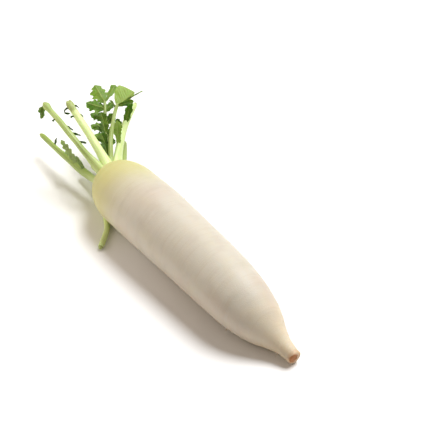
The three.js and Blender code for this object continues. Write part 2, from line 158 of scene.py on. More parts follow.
# The leaves, with the solids' own numbers. `green` is how deep the stalk's colour is, `cap`
# how far down from its end the skin is brownish, and `pale`, `light`, `faded` and `dark`
# are how much of a blade's own green is lost below, above, with age and by drying.
LEAVES = {
    "leaf_stripped_pale": {
        "around": 76, "lean": (20.5, 20.5), "length": 98.5, "ring": 12, "sway": 8,
        "base": (7.4, 3.8), "middle": (4.7, 4.3), "end": (3.8, 3.6), "knuckle": 0.12,
        "green": 0.0, "cap": 23,
        "leaflets": [
            scrap(0.92, 1, 74, 19, arch=200, width=4.6), scrap(0.94, -1, 110, 9), scrap(0.81, -1, 125, 8),
            scrap(0.79, 1, 70, 6),
        ],
    },
    "leaf_broad": {
        "around": 16, "lean": (34.5, 52), "length": 117.5, "ring": 12.5, "sway": -16,
        "base": (8.4, 4.4), "middle": (5.2, 4.2), "end": (2.9, 2.8), "flare": 0.5,
        "green": 0.25, "cap": 4,
        "leaflets": [
            leaflet(0.66, 1, 42, 26, 11, tilt=-15, upper=TO_THE_FRONT, ruffle=1.2, sunk=2.4, broadest=0.4),
            leaflet(0.53, 1, 50, 15, 9, tilt=25, upper=TO_THE_FRONT, ruffle=1, sunk=2.4),
            leaflet(
                0.3, 1, 36, 31, 12, upper=TO_THE_FRONT, ruffle=0.8, sunk=4, notch=0.3, broadest=0.6,
                light=0.8, teeth=0.3,
            ),
        ],
    },
    "leaf_behind_broad": {
        "around": -22, "lean": (42, 33.5), "length": 96, "ring": 12.5, "sway": 3,
        "base": (7.2, 3.6), "middle": (5, 4), "end": (3.6, 3.2),
        "green": 1.2, "cap": 3, "leaflets": [scrap(0.94, 1, 60, 8)],
    },
    "leaf_under_right": {
        "around": -60, "lean": (32, 2), "length": 66, "ring": 11.5,
        "base": (7, 3.6), "middle": (4.6, 3.9), "end": (3.4, 3),
        "green": 0.4, "cap": 3, "leaflets": [scrap(0.88, 1, 60, 8)],
    },
    "leaf_under": {
        "around": -92, "lean": (20, 4), "length": 60, "ring": 12,
        "base": (6.6, 3.4), "middle": (4.4, 3.8), "end": (3.2, 3),
        "green": 0.4, "cap": 3, "leaflets": [],
    },
    "leaf_long_low": {
        "around": -139, "lean": (4, 0), "length": 129, "ring": 11,
        "base": (7.6, 3.8), "middle": (5.3, 4.7), "end": (2.8, 2.6),
        "green": 0.95, "cap": 6,
        "leaflets": [
            scrap(0.76, -1, 50, 10, tilt=65, arch=40, width=5), scrap(0.55, -1, 50, 7, tilt=60),
            leaflet(
                0.38, -1, 40, 34, 10, tilt=35, upper=TO_THE_FRONT, lobes=5, notch=0.7, ruffle=1, sunk=3,
                faded=0.8, dark=0.3,
            ),
            leaflet(
                0.26, -1, 42, 20, 6, tilt=35, upper=TO_THE_FRONT, notch=0.5, ruffle=0.8, sunk=3, faded=0.6,
                dark=0.35,
            ),
        ],
    },
    "leaf_long_knuckled": {
        "around": 119.5, "lean": (37, 7), "length": 113, "ring": 9, "sway": -38,
        "base": (6.4, 3.6), "middle": (3.5, 3.5), "end": (3, 3), "knuckle": 0.45,
        "green": 0.7, "cap": 5,
        "leaflets": [
            scrap(0.97, 1, 110, 14, tilt=50, width=8, lobes=3, arch=20, dark=0.4),
            scrap(0.98, 1, 85, 10, tilt=40, width=7, lobes=3, arch=20, dark=0.4),
            scrap(0.98, -1, 70, 6), scrap(0.76, 1, 100, 5),
            scrap(0.66, -1, 140, 13, tilt=25, arch=10, width=4.4), scrap(0.54, -1, 135, 12, tilt=10, arch=10),
            scrap(0.42, -1, 135, 10, tilt=5, arch=10),
        ],
    },
    "leaf_thin_with_fan": {
        "around": 44, "lean": (35, 52), "length": 88.5, "ring": 7, "sway": -17,
        "base": (4, 3), "middle": (2.9, 2.6), "end": (1.8, 1.7),
        "green": 0.8, "cap": 0,
        "leaflets": [
            leaflet(
                0.96, -1, 30, 28, 23, tilt=-60, upper=TO_THE_BACK, lopsided=-0.7, lobes=2, notch=0.08,
                fold=12, sunk=1.2, sweep=0.2, ruffle=0.8, pale=1, teeth=0.04,
            ),
            leaflet(0.97, -1, 60, 19, 8, tilt=-70, upper=TO_THE_FRONT, ruffle=0.8, sunk=1.2),
            scrap(0.97, -1, 37, 37, tilt=-64, width=2, arch=14, sunk=1.2, dark=0.55, light=1),
            scrap(0.93, 1, 34, 15, tilt=40, arch=50, sunk=1.2, dark=0.5),
        ],
    },
    "leaf_green": {
        "around": 31, "lean": (30.5, 36), "length": 105, "ring": 3.4,
        "base": (3.8, 2.6), "middle": (2.9, 2.6), "end": (1.7, 1.6),
        "green": 1.3, "cap": 0,
        "leaflets": [
            leaflet(
                0.98, 1, 22, 28, 25, tilt=60, lobes=4, notch=0.45, ruffle=1.4, broadest=0.5, sweep=0.2,
                pale=0.5,
            ),
            leaflet(0.98, -1, 26, 29, 12, tilt=-60, ruffle=1, broadest=0.75, pale=0.4),
            leaflet(0.9, 1, 66, 23, 21, tilt=62, ruffle=1.4, broadest=0.4),
            leaflet(0.86, -1, 34, 16, 12, tilt=-58, ruffle=1),
            leaflet(0.79, 1, 78, 17, 17, tilt=58, ruffle=1.2, broadest=0.35),
            leaflet(0.72, 1, 44, 15, 14, tilt=48, ruffle=1.2),
            leaflet(0.69, -1, 30, 18, 14, tilt=-56, ruffle=1),
            leaflet(0.64, 1, 74, 17, 15, tilt=62, ruffle=1.2, broadest=0.4),
            leaflet(0.57, 1, 40, 16, 15, tilt=46, ruffle=1.2),
            leaflet(0.52, -1, 30, 16, 14, tilt=-60, ruffle=1),
            leaflet(0.5, 1, 66, 14, 14, tilt=60, ruffle=1.2, broadest=0.4),
            leaflet(0.42, 1, 38, 15, 13, tilt=45, ruffle=1),
            leaflet(0.38, -1, 26, 14, 11, tilt=-60, ruffle=0.8),
            leaflet(0.34, 1, 46, 13, 12, tilt=60, ruffle=0.8),
            leaflet(0.26, 1, 34, 12, 9, tilt=46, lobes=2, ruffle=0.8),
            leaflet(0.66, 1, 20, 18, 13, tilt=20, upper=TO_THE_FRONT, ruffle=1.2),
            leaflet(0.52, 1, 16, 18, 13, upper=TO_THE_FRONT, ruffle=1.2),
            leaflet(0.37, 1, 22, 19, 14, tilt=20, upper=TO_THE_FRONT, ruffle=1.2),
            leaflet(0.22, 1, 16, 18, 12, upper=TO_THE_FRONT, ruffle=1),
        ],
    },
    "leaf_drooping": {
        "route": [
            (-130, -4.6, 25.5), (-138, -5, 20), (-140, -5, 12), (-135, -6, 5.6), (-122, -12, 3.5),
            (-109, -20, 3.5), (-90, -31, 3.5), (-70, -52, 3.5),
        ],
        "length": 120,
        "base": (4.6, 3.2), "middle": (3.2, 3.2), "end": (3, 2.9),
        "green": 0.0, "cap": 3, "leaflets": [],
    },
}


def smooth(k):
    """Rises softly from 0 at 0 to 1 at 1, and is level outside them."""
    t = np.clip(k, 0, 1)
    return t * t * (3 - 2 * t)


def mix(a, b, k):
    """From a where k is 0 to b where it is 1."""
    return a + (b - a) * k


def hump(x, centre, width):
    """1 at the centre, and fading to 0 on both sides."""
    return np.exp(-(((x - centre) / width) ** 2))


def wander(seed, waves, *coordinates):
    """A smooth unevenness from about -1 to 1. Each coordinate is an array with the highest
    rate at which it turns, and a whole number of turns where it is an angle."""
    draw = random.Random(seed)
    total = 0
    for _ in range(waves):
        phase = draw.uniform(0, 2 * math.pi)
        for values, rate in coordinates:
            turn = draw.randint(-rate, rate) if isinstance(rate, int) else draw.uniform(-rate, rate)
            phase = phase + values * turn
        total = total + np.cos(phase)
    return total / math.sqrt(waves)


def through(points, x):
    """A smooth curve through points whose slope never overshoots between them."""
    xs, ys = np.array(points, float).T
    widths = np.diff(xs)
    slopes = np.diff(ys) / widths
    products = slopes[:-1] * slopes[1:]
    sums = slopes[:-1] + slopes[1:]
    inner = np.where(products <= 0, 0, 2 * products / np.where(sums == 0, 1, sums))
    tangents = np.concatenate([[0], inner, [slopes[-1]]])
    i = np.clip(np.searchsorted(xs, x, side="right") - 1, 0, len(widths) - 1)
    t = np.clip((x - xs[i]) / widths[i], 0, 1)
    return (
        (1 + 2 * t) * (1 - t) ** 2 * ys[i]
        + t * (1 - t) ** 2 * widths[i] * tangents[i]
        + t * t * (3 - 2 * t) * ys[i + 1]
        + t * t * (t - 1) * widths[i] * tangents[i + 1]
    )


def root_radius(along):
    """A rounded shoulder, then the outline."""
    k = 1 - np.clip(along, 0, SHOULDER_DEPTH) / SHOULDER_DEPTH
    shoulder = NECK_RADIUS + (SHOULDER_RADIUS - NECK_RADIUS) * np.sqrt(1 - k * k)
    return np.where(along < SHOULDER_DEPTH, shoulder, through(OUTLINE, np.maximum(along, SHOULDER_DEPTH)))


def down_tail(along):
    """How far along the tail a place is, from 0 where it starts to 1 at its end."""
    return np.maximum(0, (along - TAIL_START) / (ROOT_LENGTH - TAIL_START))


def axis_height(along):
    """The underside is level to the tail, whose end stays just off the surface."""
    level = root_radius(np.clip(along, SHOULDER_DEPTH, TAIL_START)) - REST_FLAT_DEPTH
    return mix(level, TAIL_END_HEIGHT, np.minimum(1, down_tail(along)) ** 1.25)


def axis_side(along):
    bend = SIDEWAYS_BEND * np.sin(math.pi * np.clip(along / ROOT_LENGTH, 0, 1))
    return bend + TAIL_END_SIDE * down_tail(along) ** 1.3


def root_place(along, angle, radius):
    """Points at a radius from the root's bent axis."""
    across = axis_side(along) + radius * np.cos(angle)
    return np.stack([along - CROWN_TO_REST, across, axis_height(along) + radius * np.sin(angle)], axis=-1)


def unit(vectors):
    return vectors / np.maximum(np.linalg.norm(vectors, axis=-1, keepdims=True), 1e-9)


def outward_normals(rings):
    """Normals of a tube given as rings of points, pointing away from its middle line."""
    lengthwise = np.gradient(rings, axis=0)
    roundwise = np.roll(rings, -1, axis=1) - np.roll(rings, 1, axis=1)
    normals = unit(np.cross(roundwise, lengthwise))
    away = (normals * (rings - rings.mean(axis=1, keepdims=True))).sum()
    return normals if away > 0 else -normals


class Form:
    """Bodies with values at their points, gathered before they become one mesh."""

    def __init__(self):
        self.points = []
        self.faces = []
        self.values = {}
        self.count = 0

    def add(self, points, faces, values):
        self.points.append(points)
        self.faces += (np.array(faces) + self.count).tolist()
        for name, value in values.items():
            self.values.setdefault(name, []).append(value)
        self.count += len(points)

    def add_tube(self, rings, values):
        """A closed tube through rings of points, with one more point in the middle of each end."""
        count, sides = rings.shape[:2]
        points = np.concatenate([rings.reshape(-1, 3), rings[[0, -1]].mean(axis=1)])
        here = np.arange(count * sides).reshape(count, sides)
        beside = np.roll(here, -1, axis=1)
        quads = np.stack([here[:-1], beside[:-1], beside[1:], here[1:]], axis=-1).reshape(-1, 4)
        spread = {}
        for name, value in values.items():
            whole = np.broadcast_to(value, (count, sides))
            spread[name] = np.concatenate([whole.ravel(), whole[[0, -1]].mean(axis=1)])
        first = count * sides
        for middle, ring in ((first, 0), (first + 1, -1)):
            fan = np.stack([np.full(sides, middle), here[ring], beside[ring]], axis=-1)
            self.faces += (fan + self.count).tolist()
        self.add(points, quads, spread)

    def add_sheet(self, upper, lower, values):
        """A closed sheet between two grids of points that share their rim."""
        rows, columns = upper.shape[:2]
        points = np.concatenate([upper.reshape(-1, 3), lower.reshape(-1, 3)])
        top = np.arange(rows * columns).reshape(rows, columns)
        under = top + rows * columns
        faces = []
        for grid in (top, under):
            faces.append(np.stack([grid[:-1, :-1], grid[:-1, 1:], grid[1:, 1:], grid[1:, :-1]], axis=-1))
        rim = (
            (top[0], under[0]), (top[-1], under[-1]), (top[:, 0], under[:, 0]), (top[:, -1], under[:, -1]),
        )
        for a, b in rim:
            faces.append(np.stack([a[:-1], a[1:], b[1:], b[:-1]], axis=-1))
        spread = {}
        for name, (on_top, on_under) in values.items():
            pair = [np.broadcast_to(value, (rows, columns)).ravel() for value in (on_top, on_under)]
            spread[name] = np.concatenate(pair)
        self.add(points, np.concatenate([face.reshape(-1, 4) for face in faces]), spread)

    def piece(self, name, material, slot, *nodes):
        """The gathered bodies as one object that rides on the root and stands for the nodes."""
        mesh = bpy.data.meshes.new(name)
        mesh.from_pydata((np.concatenate(self.points) * MM).tolist(), [], self.faces)
        for label, values in self.values.items():
            attribute = mesh.attributes.new(label, "FLOAT", "POINT")
            attribute.data.foreach_set("value", np.concatenate(values).astype(np.float32))
        whole = bmesh.new()
        whole.from_mesh(mesh)
        bmesh.ops.recalc_face_normals(whole, faces=whole.faces)
        whole.to_mesh(mesh)
        whole.free()
        mesh.shade_smooth()
        mesh.set_sharp_from_angle(angle=math.radians(60))
        mesh.materials.append(material)
        made = bpy.data.objects.new(name, mesh)
        bpy.context.scene.collection.objects.link(made)
        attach(made, BODY)
        if nodes:
            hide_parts(*nodes)
        return made


class Value:
    """A shader socket that adds, subtracts and multiplies like a number."""

    def __init__(self, shader, socket):
        self.shader = shader
        self.socket = socket

    def __add__(self, other):
        return self.shader.maths("ADD", self, other)

    def __radd__(self, other):
        return self.shader.maths("ADD", other, self)

    def __sub__(self, other):
        return self.shader.maths("SUBTRACT", self, other)

    def __rsub__(self, other):
        return self.shader.maths("SUBTRACT", other, self)

    def __mul__(self, other):
        return self.shader.maths("MULTIPLY", self, other)

    def __rmul__(self, other):
        return self.shader.maths("MULTIPLY", other, self)


class Shader:
    """The node tree of one material."""

    def __init__(self, name):
        self.material = bpy.data.materials.new(name)
        self.material.use_nodes = True
        self.tree = self.material.node_tree
        self.tree.nodes.clear()

    def node(self, kind, settings, inputs, output=0):
        """Adds a node, sets it up, then gives its sockets their numbers or links."""
        made = self.tree.nodes.new(kind)
        for name, value in settings.items():
            setattr(made, name, value)
        for key, value in inputs.items():
            if isinstance(value, Value):
                self.tree.links.new(value.socket, made.inputs[key])
            else:
                made.inputs[key].default_value = value
        return Value(self, made.outputs[output]) if len(made.outputs) else None

    def maths(self, operation, a, b=0.0):
        return self.node("ShaderNodeMath", {"operation": operation}, {0: a, 1: b})

    def mixed(self, factor, a, b):
        """Colour a where the factor is 0 and b where it is 1."""
        a, b = (value if isinstance(value, Value) else (*value, 1) for value in (a, b))
        return self.node("ShaderNodeMix", {"data_type": "RGBA"}, {0: factor, 6: a, 7: b}, 2)

    def attribute(self, name):
        return self.node("ShaderNodeAttribute", {"attribute_name": name}, {}, 2)

    def place(self, *stretch):
        """The place on the object in metres, times a number for each axis."""
        here = self.node("ShaderNodeTexCoord", {}, {}, 3)
        return self.node("ShaderNodeVectorMath", {"operation": "MULTIPLY"}, {0: here, 1: stretch})

    def vector(self, x, y, z):
        return self.node("ShaderNodeCombineXYZ", {}, {0: x, 1: y, 2: z})

    def noise(self, vector, scale, detail=2.0):
        return self.node("ShaderNodeTexNoise", {}, {"Vector": vector, "Scale": scale, "Detail": detail})

    def step(self, value, low, high):
        """0 below low and 1 above high, with a soft edge between them."""
        inputs = {"Value": value, "From Min": low, "From Max": high}
        return self.node("ShaderNodeMapRange", {"interpolation_type": "SMOOTHSTEP"}, inputs)

    def bump(self, height, strength, distance):
        return self.node("ShaderNodeBump", {}, {"Height": height, "Strength": strength, "Distance": distance})

    def finish(self, sockets):
        surface = self.node("ShaderNodeBsdfPrincipled", {}, sockets)
        self.node("ShaderNodeOutputMaterial", {}, {"Surface": surface})
        return self.material


def skin_material(look):
    """Cream skin, yellow-green at the crown, with faint rings, mottles, scars, a brown cut, painted shade on
    the underside towards the tail, and a tan tail painted lighter to stand in for light.
    """
    shader = Shader("daikon skin")
    along = shader.attribute("along")
    patches = shader.noise(shader.place(1, 1.6, 1.6), 26.0, 3.0)
    rosy = shader.noise(shader.place(1, 1.4, 1.4), 17.0, 1.0)
    smudges = shader.noise(shader.place(1, 0.6, 0.6), 75.0, 3.0)
    rings = shader.noise(shader.place(1, 0.05, 0.05), 620.0, 3.0)
    pores = shader.noise(shader.place(1, 1, 1), 900.0, 2.0)
    skin = shader.mixed(shader.step(rosy, 0.42, 0.66), look.skin, look.skin_rosy)
    skin = shader.mixed(shader.step(patches, 0.5, 0.8) * 0.5, skin, look.skin_yellow)
    skin = shader.mixed(shader.step(rings, 0.5, 0.72) * 0.16, skin, look.scar)
    skin = shader.mixed(shader.step(smudges, 0.48, 0.72) * 0.16, skin, look.smudge)
    fade = along + patches * 44.0 - 22.0
    tint = 1.0 - shader.step(fade, look.tint_start, look.tint_end)
    skin = shader.mixed(tint * 0.9, skin, look.crown)
    skin = shader.mixed((1.0 - shader.step(fade, -4.0, 30.0)) * 0.55, skin, look.crown_deep)
    # Partly painted light: the tail's tan tint is its own colour, but it is also painted lighter than the
    # body to stand in for light falling on the tail.
    skin = shader.mixed(shader.step(fade, 246.0, 312.0) * 0.55, skin, look.tail)
    # Painted shade: the underside towards the tail is darkened and browned where the root's shade falls.
    skin = shader.mixed(shader.attribute("low") * shader.step(fade, 60.0, 260.0) * 0.5, skin, look.painted_underside_shade)
    skin = shader.mixed(shader.attribute("end") * 0.7, skin, look.cut_rim)
    skin = shader.mixed(shader.attribute("scar") * 0.6, skin, look.scar)
    edge = shader.attribute("cut") + shader.noise(shader.place(1, 1, 1), 260.0, 2.0) * 0.7 - 0.35
    skin = shader.mixed(shader.step(edge, 0.35, 0.75), skin, look.cut)
    relief = rings * 0.5 + pores * 0.5
    return shader.finish({
        "Base Color": skin,
        "Roughness": 0.42 + patches * 0.2,
        "Normal": shader.bump(relief, 0.6, 0.0006),
        "Subsurface Weight": 0.22,
        "Subsurface Radius": (1.0, 0.62, 0.34),
        "Subsurface Scale": 0.006,
        "Specular IOR Level": 0.4,
    })


def stalk_material(look):
    """Pale green flesh with fine lengthwise streaks, yellower at the base and brownish at the cut."""
    shader = Shader("daikon leaf stalk")
    up = shader.attribute("up")
    green = shader.attribute("green")
    fibres = shader.vector(shader.attribute("round_x") * 5.0, shader.attribute("round_y") * 5.0, up * 3.0)
    streaks = shader.noise(fibres, 1.6, 3.0)
    blotches = shader.noise(shader.place(1, 1, 1), 55.0, 2.0)
    depth = green + shader.step(streaks, 0.35, 0.75) * 0.3 + (blotches - 0.5) * 0.5
    flesh = shader.mixed(shader.step(depth, 0.0, 1.1), look.pale, look.green)
    flesh = shader.mixed((1.0 - shader.step(up, 0.02, 0.3)) * 0.5, flesh, look.base)
    ragged = shader.attribute("cap") + (blotches - 0.5) * 0.3
    flesh = shader.mixed(shader.step(ragged, 0.12, 0.4) * 0.85, flesh, look.cap)
    return shader.finish({
        "Base Color": flesh,
        "Roughness": 0.34 + streaks * 0.16,
        "Normal": shader.bump(streaks, 0.3, 0.0004),
        "Subsurface Weight": 0.3,
        "Subsurface Radius": (0.7, 1.0, 0.25),
        "Subsurface Scale": 0.003,
        "Specular IOR Level": 0.45,
    })


def blade_material(look):
    """Green blades with paler ribs and undersides, and shreds that have dried dark."""
    shader = Shader("daikon leaf blade")
    rib = shader.attribute("rib")
    out = shader.maths("ABSOLUTE", shader.attribute("out"))
    cells = shader.noise(shader.place(1, 1, 1), 420.0, 3.0)
    tone = shader.noise(shader.place(1, 1, 1), 90.0, 1.0)
    leaf = shader.mixed(shader.step(tone, 0.35, 0.7), look.blade, look.blade_light)
    leaf = shader.mixed(shader.attribute("pale") * 0.9, leaf, look.underside)
    branch = shader.maths("FRACT", rib * SIDE_VEINS - out * VEIN_SLANT)
    side_veins = 1.0 - shader.step(shader.maths("ABSOLUTE", branch - 0.5), 0.03, 0.1)
    main_rib = 1.0 - shader.step(out, 0.02, 0.11)
    veins = shader.maths("MAXIMUM", side_veins * 0.16, main_rib * 0.5)
    leaf = shader.mixed(veins, leaf, look.vein)
    leaf = shader.mixed(shader.attribute("faded") * 0.8, leaf, look.faded)
    dark = shader.attribute("dark") + (cells - 0.5) * 0.6
    leaf = shader.mixed(shader.step(dark, 0.2, 0.9), leaf, look.shred)
    return shader.finish({
        "Base Color": leaf,
        "Roughness": 0.42 + cells * 0.2,
        "Normal": shader.bump(veins + cells * 0.7, 0.4, 0.0004),
        "Subsurface Weight": 0.25,
        "Subsurface Radius": (0.5, 1.0, 0.15),
        "Subsurface Scale": 0.0015,
        "Specular IOR Level": 0.25,
    })


def side_root_scars():
    """Where the side roots grew: distance from the crown, angle and breadth of each scar."""
    draw = random.Random(41)
    scars = []
    for row in SCAR_ROWS:
        for i in range(SCARS_IN_A_ROW):
            share = ((i + draw.uniform(0.2, 0.8)) / SCARS_IN_A_ROW) ** 0.8
            along = mix(SCAR_FIRST, SCAR_LAST, share)
            angle = math.radians(row + draw.uniform(-11, 11))
            scars.append((along, angle, draw.uniform(1.2, 2.6)))
    return scars


def angle_between(a, b):
    """The turn from b to a, by the shorter way."""
    return (a - b + math.pi) % (2 * math.pi) - math.pi


def root_relief(along, angle, radius, look):
    """How far the skin stands off its plain form, and how much of a scar is there."""
    swell = 0.28 * wander(5, 9, (along, 0.045), (angle, 3))
    ripple = 0.07 * wander(6, 14, (along, 0.9), (angle, 3))
    draw = random.Random(23)
    rings = 0
    for _ in range(CROSS_RINGS):
        centre = mix(30, 300, draw.random() ** 0.75)
        middle = draw.uniform(0, 2 * math.pi)
        span = draw.uniform(0.35, 1.3)
        width = draw.uniform(0.55, 1.1)
        slant = draw.uniform(-1.2, 1.2)
        off = angle_between(angle, middle)
        rings = rings + draw.uniform(0.4, 1) * hump(along, centre + slant * off, width) * hump(off, 0, span)
    scar = 0
    lip = 0
    for place, turn, breadth in side_root_scars():
        off = angle_between(angle, turn) * radius
        scar = scar + hump(along, place, 0.75) * hump(off, 0, breadth)
        lip = lip + hump(along, place, 1.9) * hump(off, 0, breadth * 1.5)
    relief = swell + ripple - look.ring_depth / MM * np.minimum(rings, 1.4)
    return relief + look.scar_depth / MM * (0.7 * lip - 1.9 * scar), np.clip(scar, 0, 1)


def root_grid():
    """Rings of the root's skin from the middle of the crown to the middle of the cut."""
    crown = np.linspace(0.06, 1, CROWN_RINGS) * math.pi / 2
    shoulder = np.linspace(0, 1, SHOULDER_RINGS + 1)[1:] * math.pi / 2
    body = np.linspace(SHOULDER_DEPTH, ROOT_LENGTH, BODY_RINGS + 1)[1:]
    cut = np.linspace(0, 1, TAIL_CUT_RINGS + 1)[1:]
    along = np.concatenate([
        -1 - (CROWN_HEIGHT - 1) * np.cos(crown) ** 0.6,
        SHOULDER_DEPTH * (1 - np.cos(shoulder)),
        body,
        ROOT_LENGTH + TAIL_ROUNDING * np.sin(cut * math.pi / 2),
    ])
    radius = np.concatenate([
        NECK_RADIUS * np.sin(crown),
        root_radius(along[CROWN_RINGS:CROWN_RINGS + SHOULDER_RINGS + BODY_RINGS]),
        root_radius(np.array([ROOT_LENGTH])) * np.cos(cut * 0.97 * math.pi / 2),
    ])
    return along[:, None], radius[:, None]


def root_form(look):
    """The root's skin from crown to cut, with its relief and what its material needs to know."""
    along, radius = root_grid()
    angle = np.linspace(0, 2 * math.pi, ROOT_SIDES, endpoint=False)[None, :]
    oval = 1 + OUT_OF_ROUND * (np.cos(2 * angle + 0.6) + 0.7 * np.cos(3 * angle + along / 60))
    rings = root_place(along + 0 * angle, angle + 0 * along, radius * oval)
    relief, scar = root_relief(along, angle, radius, look)
    on_skin = smooth(along / 10) * smooth((ROOT_LENGTH + 1 - along) / 3)
    wrinkles = 0.07 * smooth((along - WRINKLES_START) / 20) * wander(8, 12, (along, 2.2), (angle, 5))
    crown = 0.35 * (1 - smooth((along + 1) / 12)) * wander(9, 14, (along, 0.8), (angle, 9))
    end = smooth((along - ROOT_LENGTH + CUT_RIM_DEPTH) / CUT_RIM_DEPTH)
    reach = CUT_RADIUS + CUT_SLANT * np.cos(angle - math.radians(CUT_SIDE))
    cut = end * smooth((reach - radius) / CUT_EDGE)
    torn = 0.35 * end * wander(10, 12, (radius, 1.1), (angle, 4)) - CUT_HOLLOW * cut
    rings = rings + outward_normals(rings) * (relief * on_skin + wrinkles + crown + torn)[..., None]
    rings[..., 2] = np.maximum(rings[..., 2], 0)
    crown_end = -CROWN_TO_REST - CROWN_HEIGHT
    tail_end = ROOT_LENGTH - CROWN_TO_REST + TAIL_ROUNDING
    rings[..., 0] = np.clip(rings[..., 0], crown_end, tail_end)
    # Painted shade mask: 1 on the lowest skin next to the floor, fading to 0 higher up.
    low = smooth((24 - axis_height(along) - radius * np.sin(angle)) / 20)
    form = Form()
    form.add_tube(rings, {"along": along, "scar": scar * on_skin, "cut": cut, "end": end, "low": low})
    return form


def rootlet_form(look):
    """Thin broken-off side roots, and a few fibres at the cut tail."""
    draw = random.Random(77)
    form = Form()
    share = look.rootlet_share
    starts = [(along, angle, 1) for along, angle, _ in side_root_scars() if draw.random() < share]
    for _ in range(look.tail_fibres):
        starts.append((draw.uniform(294, 306), draw.uniform(0, 2 * math.pi), 1.4))
    starts += [(along, math.radians(turn), 0) for along, turn in STUBS]
    for along, angle, stretch in starts:
        radius = root_radius(np.array(along)) * 0.985
        start = root_place(np.array(along), np.array(angle), radius)
        away = root_place(np.array(along), np.array(angle), radius + 1) - start
        ahead = np.array([1.0, 0, 0]) * draw.uniform(0.3, 1.1)
        drift = np.array([0, draw.uniform(-0.6, 0.6), draw.uniform(-0.7, 0.3)])
        length = draw.uniform(1.2, 3.4) * stretch or STUB_LENGTH
        thick = draw.uniform(0.22, 0.4) if stretch else STUB_RADIUS
        s = np.linspace(0, 1, ROOTLET_STEPS)[:, None]
        line = start + length * (away * s * (1 - 0.45 * s) + (ahead + drift) * s * s * 0.7)
        line[:, 2] = np.maximum(line[:, 2], 0.3)
        angles = np.linspace(0, 2 * math.pi, ROOTLET_SIDES, endpoint=False)[None, :, None]
        one = unit(np.cross(away, ahead + drift))
        two = unit(np.cross(away, one))
        girth = (thick * (1 - 0.8 * s))[:, None, :]
        rings = line[:, None, :] + girth * (np.cos(angles) * one + np.sin(angles) * two)
        form.add_tube(rings, {"along": along, "scar": 0.7, "cut": 0, "end": 0, "low": 0})
    return form


def leaning_line(leaf, s):
    """Directions of a leaning stalk: along it, to its inner side and across it."""
    lean = np.radians(mix(leaf["lean"][0], leaf["lean"][1], smooth(s)))[:, None]
    turn = np.radians(leaf["around"] + leaf.get("sway", 0) * s)[:, None]
    radial = np.cos(turn) * SIDE + np.sin(turn) * UP
    along = np.cos(lean) * OUTWARD + np.sin(lean) * radial
    inner = np.sin(lean) * OUTWARD - np.cos(lean) * radial
    across = -np.sin(turn) * SIDE + np.cos(turn) * UP
    return along, inner, across


def fallen_curve(route, steps):
    """Evenly spaced points on a smooth curve through the route."""
    points = np.array(route, float)
    points = np.concatenate([[2 * points[0] - points[1]], points, [2 * points[-1] - points[-2]]])
    fine = np.linspace(0, 1, 40, endpoint=False)[:, None]
    parts = []
    for a, b, c, d in zip(points, points[1:], points[2:], points[3:]):
        before, here, after = (math.sqrt(np.linalg.norm(q - p)) for p, q in ((a, b), (b, c), (c, d)))
        leave = ((b - a) / before - (c - a) / (before + here) + (c - b) / here) * here
        reach = ((c - b) / here - (d - b) / (here + after) + (d - c) / after) * here
        cubic = 2 * b - 2 * c + leave + reach
        square = -3 * b + 3 * c - 2 * leave - reach
        parts.append(cubic * fine ** 3 + square * fine ** 2 + leave * fine + b)
    line = np.concatenate([*parts, [points[-2]]])
    run = np.concatenate([[0], np.cumsum(np.linalg.norm(np.diff(line, axis=0), axis=1))])
    wanted = np.linspace(0, run[-1], steps + 1)
    return np.stack([np.interp(wanted, run, line[:, axis]) for axis in range(3)], axis=-1)


def stalk_line(leaf):
    """Points down the middle of a stalk, each with its three directions."""
    if "route" in leaf:
        at = fallen_curve(leaf["route"], STALK_RINGS)
        along = unit(np.gradient(at, axis=0))
        inner = np.empty_like(at)
        last = UP
        for i, ahead in enumerate(along):
            last = unit(last - ahead * (last @ ahead))
            inner[i] = last
        return at, along, inner, np.cross(along, inner)
    s = np.linspace(0, 1, STALK_RINGS + 1)
    around = math.radians(leaf["around"])
    ring = leaf["ring"] * (math.cos(around) * SIDE + math.sin(around) * UP)
    start = root_place(np.array(0.0), np.array(0.0), 0) + ring - STALK_SUNK * OUTWARD
    ahead = leaning_line(leaf, (s[:-1] + s[1:]) / 2)[0] * (leaf["length"] + STALK_SUNK) / STALK_RINGS
    at = start + np.concatenate([[[0, 0, 0]], np.cumsum(ahead, axis=0)])
    return at, *leaning_line(leaf, s)


def stalk_section(leaf, s):
    """Half width and half thickness: a broad clasping base, a rounder middle, a rounded end."""
    flare = leaf.get("flare", 0.3)
    spread = smooth(s / flare)
    taper = np.maximum(0, (s - flare) / (1 - flare))
    swelling = 1 + leaf.get("knuckle", 0) * hump(s, 0.95, 0.04)
    tip = 1 - 0.38 * np.clip((s - 0.95) / 0.05, 0, 1) ** 2.5
    sizes = [mix(mix(leaf["base"][k], leaf["middle"][k], spread), leaf["end"][k], taper) for k in (0, 1)]
    return sizes[0] * swelling * tip, sizes[1] * swelling * tip


